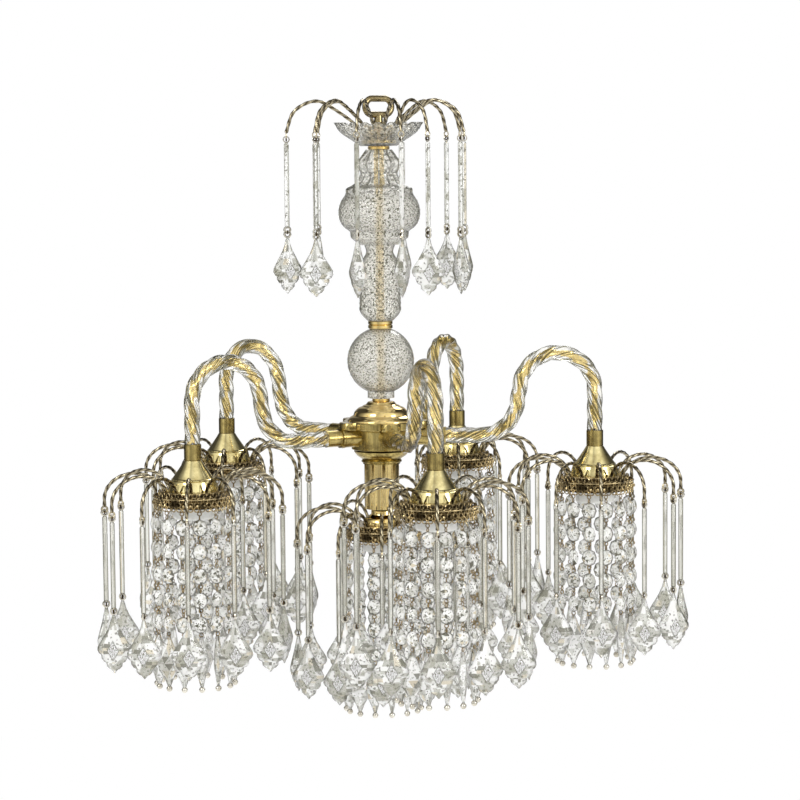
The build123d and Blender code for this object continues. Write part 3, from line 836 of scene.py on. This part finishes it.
# ---- hub
hub_top, hub_foot = top("hub_body"), foot("hub_body")
cover = np.concatenate([
    [(metal_bore, 19), (12.8, 19)], through([(13.5, 18.6), (15.2, 16.4), (18, 15.2)], 8),
    through([(18.4, 14.6), (23, 12.6), (25.6, 10.2)], 8), through([(26.2, 9.8), (27.2, 8), (27.8, 5.6)], 6),
    through([(28.6, 5), (31.4, 3.4), (33.6, 1.2)], 8), [(34, 0.6), (34, 0), (metal_bore, 0)],
])
lay_turned("cover", "hub_cover", cover, 80, polished_brass, hub_top, closed=True)
hub_profile = [
    (metal_bore, hub_foot), (26, hub_foot), (30, hub_foot + 2.2), (30, hub_top - 9.5), (31.2, hub_top - 8.6),
    (37.4, hub_top - 7.5), (38, hub_top - 6.8), (38, hub_top - 1), (37.2, hub_top), (metal_bore, hub_top),
]
lobe_reach, lobe_half_angle, flange_height = 9.5, 15, 8


def flange_lobes(turn, height):
    """The flange reaches out over each boss in a round lobe."""
    off = np.min([np.abs((np.degrees(turn) - angle + 180) % 360 - 180) for angle in arm_angles], axis=0)
    lobe = np.sqrt(np.clip(1 - (off / lobe_half_angle) ** 2, 0, 1))
    return lobe_reach * lobe * (height > hub_top - flange_height)


def lying(radius, *reaches):
    """A round bar that lies outwards, with a ring of corners at each reach."""
    return bar([(reach, 0) for reach in reaches], radius, 32)


boss = lying(boss_radius, 24, boss_reach - 1.2, boss_reach)
boss_ring = lying(boss_ring_radius, boss_reach - 4.5, boss_reach - 4, boss_reach - 3, boss_reach - 2.5)
bosses = copies(shifted(joined(boss, boss_ring), z=arm_level), turns(arm_angles))
hub = joined(lathe(hub_profile, 240, flange_lobes, closed=True), bosses)
lay("hub", hub, satin_brass, "hub_body", "satin_brass")
cone = np.concatenate([
    [(pole, 0), (27.6, 0)], through([(27.4, -1), (24.7, -4.5), (20.6, -7.4), (19, -9)], 14),
    [(20.2, -9.6), (20.2, -11), (18.8, -11.8), (18.8, -13), (pole, -13)],
])
lay_turned("foot", "hub_foot", cone, 80, satin_brass, top("hub_foot"))
pipe_top, pipe_foot = top("down_tube"), foot("down_tube")
pipe = [(16.2, pipe_foot), (17.5, pipe_foot), (17.5, pipe_top), (16.2, pipe_top)]
lay_turned("down_pipe", "down_tube", pipe, 96, polished_brass, closed=True)
cup = np.concatenate([
    [(pole, 0), (10.6, 0), (11, -0.6), (11, -5)], through([(11.4, -6), (15, -8), (17.5, -10), (19, -13)], 12),
    [(19, -16), (pole, -16)],
])
lay_turned("centre_cup", "centre_cap", cup, 64, polished_brass, top("centre_cap"))

# ---- arms
bend = arc((arm_straight, arm_level + arm_bend_radius), arm_bend_radius, -90, -3)
arch = arc((arm_reach - arm_arch_radius, arm_level + arm_arch_lift), arm_arch_radius, 178, 0, 40)
glass_foot = arm_level + arm_arch_lift - arm_end_drop
arm_path = evenly(np.concatenate([[(glass_start, arm_level)], bend, arch, [(arm_reach, glass_foot)]]), 260)


def lobes(angle):
    """A glass rope's radius at an angle: five lobes."""
    return arm_glass_radius - arm_lobe + arm_lobe * np.cos(5 * angle)


def blade(angle):
    """A flat bar's radius at an angle: an ellipse's."""
    return 1 / np.sqrt((np.cos(angle) / ribbon_half[0]) ** 2 + (np.sin(angle) / ribbon_half[1]) ** 2)


def under_arms(level):
    """Unturned placements at a level under the end of each arm."""
    return turns(0 * arm_angles, arm_places * [1, 1, 0] + [0, 0, level])


rope = (arm_path, lobes, 40, sleeve_twist)
for number, angle in enumerate(arm_angles, start=1):
    sleeve = copies(bar(*rope), turns(angle))
    lay(f"arm_sleeve_{number}", sleeve, sleeve_glass, f"arm_glass_{number}", "arm_glass", unwound(*rope), 60)
ribbon = (arm_path, blade, 16, ribbon_twist)
ribbons = copies(bar(*ribbon), turns(arm_angles))
lay("arm_ribbons", ribbons, ribbon_brass, "arm_tubes", own=unwound(*ribbon), smooth=50)
ferrule = [
    (pole, 0), (ferrule_radius - 0.6, 0), (ferrule_radius, 0.6), (ferrule_radius, ferrule_length - 0.6),
    (ferrule_radius - 0.6, ferrule_length), (pole, ferrule_length),
]
standing = copies(lathe(ferrule, 40), under_arms(foot("lamp_ferrules")))
ferrule_reaches = [boss_reach, boss_reach + 0.1, glass_start - 0.1, glass_start]
lying_ferrule = bar([(reach, 0) for reach in ferrule_reaches], ferrule_radius, 40)
lying_ferrules = copies(shifted(lying_ferrule, z=arm_level), turns(arm_angles))
lay("hub_ferrules", lying_ferrules, satin_brass, "hub_ferrules")
lay("lamp_ferrules", standing, satin_brass, "lamp_ferrules")

# ---- lamps
bell = np.concatenate([
    [(pole, 0), (8.6, 0)], through([(8.9, -0.6), (11.6, -5), (16.4, -12), (20, -17)], 24),
    [(20.8, -17.4), (20.8, -18.6)], through([(22, -19.2), (22.8, -22), (24, -27.4)], 12),
    [(24, -29), (pole, -29)],
])
bells = copies(lathe(bell, 72), under_arms(top("lamp_caps")))
lay("bell_caps", bells, lit_cap_brass, "lamp_caps")
holder = [
    (7, -27), (18.6, -27), (19.5, -26), (19.2, -17), (18.4, -16), (14, -16), (14, -5.2), (7.2, -5.2),
    (7.2, -7), (7, -7),
]
holders = copies(lathe(holder, 48, closed=True), turns(np.zeros(6), lamp_places))
lay("sockets", holders, holder_white, "lamp_holders", "holder_white")


def band(share):
    """Reach and height of the gallery's band, from its top, 0, to its lower edge, 1."""
    return np.interp(share, [0, 0.4, 1], [32, 39, 38.4]), np.interp(share, [0, 0.4, 1], [-0.8, -6, -17.2])


def circled(shape, steps, reach, height):
    """A copy of the shape at each angle in degrees, at a reach and height."""
    return copies(shape, after(turns(steps), np.repeat(turns(0, (reach, 0, height)), len(steps), 0)))


plate = lathe([(20, -1.6), (31, -1.6), (31.4, -0.8), (31, 0), (20, 0)], 56, closed=True)
rail = lathe(arc((38.6, -5.0), 0.65, 0, 315, 8), 84, closed=True)
scroll = eye(2.3, 0.55, 9, 4)
upright_scroll = (scroll[0][:, [1, 0, 2]], scroll[1][::-1], scroll[2][::-1])
rows = []
for share, count, start in [(0.12, 30, 0.0), (0.36, 40, 0.5), (0.6, 40, 0.0), (0.84, 42, 0.5)]:
    reach, height = band(share)
    steps = (np.arange(count) + start) * 360 / count
    top_row_rise = 0.4 * (share < 0.3)
    rows.append(circled(upright_scroll, steps, reach - 0.6, height + top_row_rise))
studs = circled(ball(1.3, 6, 4), np.arange(36) * 10.0, 39.0, -10.6)
gallery = joined(plate, rail, *rows, studs)


def shade_sheet_edge(turn, height):
    """Pulls the lower edge in between the scrolls."""
    return -0.5 * (1 + np.cos(36 * turn)) * (height < -12)


# A dark sheet behind each gallery's scrolls, where there is only shade: painted shade.
shade_sheet_profile = [
    (31, -1.8), (36.4, -5.8), (36.6, -11), (36.4, -14.5), (35.6, -14.5), (35.8, -11), (35.6, -6.2),
    (30.6, -2.6),
]
gallery_shade_sheet = lathe(shade_sheet_profile, 168, shade_sheet_edge, closed=True)
for number in lamp_numbers:
    lay_at_lamp("gallery_shade_sheet", number, gallery_shade_sheet, dark_bronze_and_shade, "dark_brass")
    lay_at_lamp("gallery", number, gallery, filigree_brass, "dark_brass", "lamp_gallery")

# ---- bead curtains
bead = star_cut([(-3.8, 1.6, 1.9), (-2.8, 4.5, 5.2), (0, 7.6, 8.8), (2.8, 4.5, 5.2), (3.8, 1.6, 1.9)])
bead = facing(bead, [2, 0, 1])  # its table faces outwards, along x
kite = star_cut([
    (-50.5, 0.9, 0.9), (-41, 4.6, 2.6), (-33, 9.4, 3.7), (-26, 12.4, 4.5), (-19.5, 9.8, 4.2), (-11, 6.4, 3.4),
    (0, 1.6, 1.6),
])
kite = facing(kite, [1, 0, 2], [-1, 1, 1])  # its broad side faces outwards
kite_tip, tip_drop = ball(3.0, 12, 8), 51.0
link_ring = eye(1.9, 0.55, 8, 4)
link = joined(shifted(link_ring, z=2.1), copies(shifted(link_ring, z=-2.1), turns(90)))
bead_levels = curtain_top - bead_lead - np.arange(beads_per_string) * bead_pitch
kite_top = bead_levels[-1] - bead_pitch / 2
link_levels = np.append(bead_levels + bead_pitch / 2, kite_top)
strings = np.arange(strings_per_lamp) * 360 / strings_per_lamp


def hung(shape, levels, yaw, spread):
    """Copies of a shape on every string at each level, each turned by a yaw within the spread."""
    spokes = np.repeat(turns(strings), len(levels), 0)
    places = np.tile([[string_ring, 0, level] for level in levels], (strings_per_lamp, 1))
    yaws = yaw + rng.uniform(-spread, spread, len(spokes))
    return copies(shape, after(spokes, turns(yaws, places)))


curtain = [
    # piece, its shape, levels, yaw and spread, finish, slot, the solid it replaces, smooth
    ("beads", bead, bead_levels, 0, 22, bead_crystal, "crystal", "bead_strings", None),
    ("kites", kite, [kite_top], kite_turn, 6, kite_crystal, "crystal", None, None),
    ("bead_links", link, link_levels, 90, 20, bronze_link, "wire_brass", None, 35),
    ("kite_tips", kite_tip, [kite_top - tip_drop], 0, 0, silver, "wire_brass", None, 35),
]
for number in lamp_numbers:
    for kind, shape, levels, yaw, spread, finish, slot, node, smooth in curtain:
        lay_at_lamp(kind, number, hung(shape, levels, yaw, spread), finish, slot, node, smooth=smooth)

# ---- sprays at the lamps
pendant_edge = np.array([
    (0, 1.5), (-7, 3.2), (-14, 6.2), (-21, 10.4), (-27, 14.2), (-31, 16.4), (-34, 16.7), (-37, 15.2),
    (-38.6, 13.0), (-42, 12.6), (-45, 10.4), (-46.2, 8.0), (-49.5, 7.4), (-52, 5.0), (-52.8, 3.0), (-56, 0.4),
])
pendant_depth = np.interp(-pendant_edge[:, 0], [0, 8, 30, 44, 56], [1.5, 3.0, 6.0, 4.0, 0.5])
pendant_corners = [
    (1, 0.12), (0.62, 0.8), (0.18, 1), (-0.18, 1), (-0.62, 0.8), (-1, 0.12), (-1, -0.12), (-0.62, -0.8),
    (-0.18, -1), (0.18, -1), (0.62, -0.8), (1, -0.12),
]
pendant = gem(np.column_stack([pendant_edge, pendant_depth]), pendant_corners)
pendant = facing(pendant, [1, 0, 2], [-1, 1, 1])
round_ten = [(np.cos(t), np.sin(t)) for t in np.radians(np.arange(10) * 36)]
rod = gem([(-85, 1.4, 1.4), (-83.4, 2.4, 2.4), (-2.4, 2.4, 2.4), (-0.6, 1.4, 1.4)], round_ten)
rod_eye = eye(2.9, 1.15, 12, 6)
eye_link = copies(eye(1.5, 0.7, 8, 4), turns(90))
upper_eye, lower_eye = -1.0, -rod_length - 4.4
hanging_rod = shifted(rod, z=-3.4)
rod_eyes = joined(shifted(rod_eye, z=upper_eye), shifted(rod_eye, z=lower_eye))
rod_links = joined(shifted(eye_link, z=upper_eye), shifted(eye_link, z=lower_eye))
pendant_drop = shifted(pendant, z=-rod_length - 8)

rising = arc((56, -8), (29.5, 25), 166, 90, 30)
falling = arc((56, -8), (30, 25), 90, 0, 30)[1:]
wire_path = evenly(np.concatenate([rising, falling, [(86, -15.6)]]), 84)


def two_strands(angle):
    """The outline of two round strands that lie against each other."""
    return 1.85 * (0.76 + 0.24 * np.abs(np.cos(angle)) ** 1.2)


def with_eye(rope, ring):
    """A twisted bar and the ring at its end, with the places of both when unwound; the ring, whose places lie
    outside the grooves, gets none of their painted shade and is bright all over."""
    bright = [0, 2.0, 0]
    return joined(bar(*rope), ring), np.concatenate([unwound(*rope), np.tile(bright, (len(ring[0]), 1))])


wire_eye = shifted(eye(2.8, 1.0, 12, 6), x=wire_reach, z=wire_end + 2.2)
spray_wire, wire_grain = with_eye((wire_path, two_strands, 10, wire_twist), wire_eye)
wire_turns = np.arange(wires_per_lamp) * 360 / wires_per_lamp
wire_ends = np.tile([[wire_reach, 0, wire_end]], (wires_per_lamp, 1))
wires = copies(spray_wire, turns(wire_turns))
# each pendant turns from facing outwards towards facing the front, less where it hangs farthest aside
front_share, far_aside, most_aside, most_elsewhere = 0.85, 75, 24, 62
rod_stray, pendant_stray = 20, 14
to_front = (-wire_turns) % 180 - 90
most_turn = np.where(np.abs(to_front) > far_aside, most_aside, most_elsewhere)
pendant_grain = np.tile(pendant[0], (wires_per_lamp, 1))
for number in lamp_numbers:
    lay_at_lamp("spray", number, wires, twisted_wire, "wire_brass", "spray_wires", wire_grain, 50)
    strays = rng.uniform(-rod_stray, rod_stray, wires_per_lamp)
    hangers = after(turns(wire_turns), turns(strays, wire_ends))
    lay_at_lamp("rods", number, copies(hanging_rod, hangers), rod_crystal, "crystal", smooth=50)
    lay_at_lamp("rod_eyes", number, copies(rod_eyes, hangers), silver, "wire_brass")
    lay_at_lamp("rod_links", number, copies(rod_links, hangers), dark_bronze_and_shade, "wire_brass")
    strays = rng.uniform(-pendant_stray, pendant_stray, wires_per_lamp)
    yaws = np.clip(front_share * to_front + strays, -most_turn, most_turn)
    hanging = copies(pendant_drop, after(turns(wire_turns), turns(yaws, wire_ends)))
    lay_at_lamp("pendants", number, hanging, pendant_crystal, "crystal", "spray_drops", pendant_grain, None)

# ---- top spray
top_eye = eye(top_eye_radius, 0.6, 12, 6)
top_wires, top_grain = [], []
for reach, angle in top_drops:
    rise = [(14, 0.5), (18, 7), (29, 19)]
    over = [(0.54 * reach, 33), (0.66 * reach, 37.4), (0.8 * reach, 34.5), (0.93 * reach, 25), (reach, 6.4)]
    across = shifted(copies(top_eye, turns(90)), x=reach, z=pivot_rise + top_eye_radius)
    wire, grain = with_eye((through(rise + over, 96), two_strands, 10, top_wire_twist), across)
    top_wires.append(copies(shifted(wire, z=flange_top), turns(angle)))
    top_grain.append(grain)
top_grain = np.concatenate(top_grain)
lay("top_spray", joined(*top_wires), twisted_wire, "top_spray_wires", "wire_brass", top_grain, 50)

away_from_diamond = [0, 50, 0]  # moves the rod's grain out of the pendants' pressed diamond
top_upper_eye, top_lower_eye, top_pendant_eye = -1.32, -rod_length - 5.2, -rod_length - 9.6
top_rod = shifted(rod, z=-4.0)
top_eyes = joined(
    shifted(top_eye, z=top_upper_eye), shifted(rod_eye, z=top_lower_eye), shifted(rod_eye, z=top_pendant_eye),
)
top_links = joined(shifted(eye_link, z=top_upper_eye), shifted(eye_link, z=-rod_length - 7.4))
top_pendant = shifted(pendant, z=-rod_length - 12.6)
stone_grain = np.concatenate([top_rod[0] + away_from_diamond, pendant[0]])
for number, ((reach, angle), yaw) in enumerate(zip(top_drops, top_drop_yaws), start=1):
    at = turns(angle, [reach * np.cos(np.radians(angle)), reach * np.sin(np.radians(angle)), pivot_level])
    stones = copies(joined(top_rod, copies(top_pendant, turns(yaw + 90))), at)
    swinging = [
        # piece, its shape, finish, the solid it replaces, slot, grain and smooth
        ("crystal", stones, pendant_crystal, f"top_drop_{number}", "crystal", stone_grain, None),
        ("eyes", copies(top_eyes, at), silver, None, "wire_brass", top_eyes[0], 35),
        ("links", copies(top_links, at), dark_bronze_and_shade, None, "wire_brass", top_links[0], 35),
    ]
    for kind, *rest in swinging:
        lay(f"top_{kind}_{number}", *rest, f"drop_{number}")


# ---- camera, lights and backdrop
camera_place = Vector((0.019, -2.775, -0.038))
camera_tilt, camera_roll = 5.35, -0.5
sensor_width, focal_length = 36, 124.9
lens = bpy.data.cameras.new("camera")
lens.sensor_width, lens.lens = sensor_width, focal_length
camera = put("camera", lens)
tilted = Matrix.Translation(camera_place) @ Matrix.Rotation(np.radians(90 - camera_tilt), 4, "X")
camera.matrix_world = tilted @ Matrix.Rotation(np.radians(camera_roll), 4, "Z")
scene.camera = camera


def softbox(name, place, aim, size, watts):
    """A square of soft light."""
    data = bpy.data.lights.new(name, "AREA")
    data.shape, data.size, data.energy = "SQUARE", size, watts
    turn = (Vector(aim) - Vector(place)).to_track_quat("-Z", "Y").to_matrix().to_4x4()
    put(name, data).matrix_world = Matrix.Translation(place) @ turn


lamp_middle = (0, 0, -0.3)
softbox("key", (-1.8, -2.4, 1.4), lamp_middle, 1.2, 34)
softbox("fill", (2.2, -1.6, 0.4), lamp_middle, 0.8, 16)
softbox("rim", (0.8, 2.4, 1.6), lamp_middle, 1.0, 20)

world = bpy.data.worlds.new("studio")
scene.world = world
world.use_nodes = True
sky = Nodes(world.node_tree)
sky.tree.nodes.clear()
ray = sky.tree.nodes.new("ShaderNodeLightPath").outputs
direction = sky.node("TexCoord", 0)
upward = sky.node("SeparateXYZ", 2, Vector=direction)
round_share = sky.node("TexGradient", 1, {"gradient_type": "RADIAL"}, Vector=direction)
cards = sky.ramp(
    round_share, (0.0, 0.3), (0.07, 0.95), (0.14, 1.0), (0.19, 0.5), (0.25, 0.75), (0.33, 1.0), (0.42, 1.0),
    (0.50, 0.4), (0.58, 0.05), (0.68, 0.05), (0.75, 0.5), (0.82, 0.05), (0.93, 0.05), (1.0, 0.3),
)
half_up = sky.maths("MULTIPLY_ADD", upward, 0.5)
floor_to_top = sky.ramp(half_up, (0.0, 0.25), (0.40, 0.45), (0.5, 1.0), (0.8, 1.0), (1.0, 0.9))
seen_in_metal = sky.mix(1.0, cards, floor_to_top, "MULTIPLY")
lit = sky.node("Background", Color=(1, 1, 1), Strength=1.15)
mirrored = sky.node("Background", Color=seen_in_metal, Strength=1.3)
room = sky.node("TexNoise", Vector=direction, Scale=5.0, Detail=1.0)
patches = sky.ramp(room, (0.36, 0.02), (0.40, 1.0))
off_level = sky.ramp(sky.maths("ABSOLUTE", upward), (0.12, 0.0), (0.2, 1.0))
seen_through = sky.mix(off_level, (1, 1, 1), patches)
through_glass = sky.node("Background", Color=seen_through, Strength=1.0)
white = sky.node("Background", Color=(1, 1, 1), Strength=1.0)
mixed = lit
for kind, seen in [("Glossy", mirrored), ("Transmission", through_glass), ("Camera", white)]:
    mixed = sky.node("MixShader", Fac=ray[f"Is {kind} Ray"], _1=mixed, _2=seen)
sky.tree.links.new(mixed, sky.tree.nodes.new("ShaderNodeOutputWorld").inputs[0])

floor_level, half = -2.6, 9.0
floor_corners = [(-half, -half), (half, -half), (half, half), (-half, half)]
floor_mesh = bpy.data.meshes.new("floor")
floor_mesh.from_pydata([(x, y, floor_level) for x, y in floor_corners], [], [(0, 1, 2, 3)])
floor = put("floor", floor_mesh)
pale = bpy.data.materials.new("pale floor")
pale.use_nodes = True
floor_nodes = Nodes(pale.node_tree)
floor_shader = floor_nodes.tree.nodes["Principled BSDF"]
floor_shader.inputs["Base Color"].default_value = (0.9, 0.9, 0.9, 1)
floor_shader.inputs["Roughness"].default_value = 0.9
seen_by_camera = floor_nodes.node("LightPath", 0)
seen = floor_nodes.times(seen_by_camera, 0.98)
glow = floor_nodes.node("Emission", Color=(1, 1, 1, 1), Strength=1.0)
both = floor_nodes.node("MixShader", Fac=seen, _1=floor_shader.outputs[0], _2=glow)
pale.node_tree.links.new(both, pale.node_tree.nodes["Material Output"].inputs[0])
floor_mesh.materials.append(pale)

scene.view_settings.view_transform = "Standard"
bpy.context.view_layer.update()
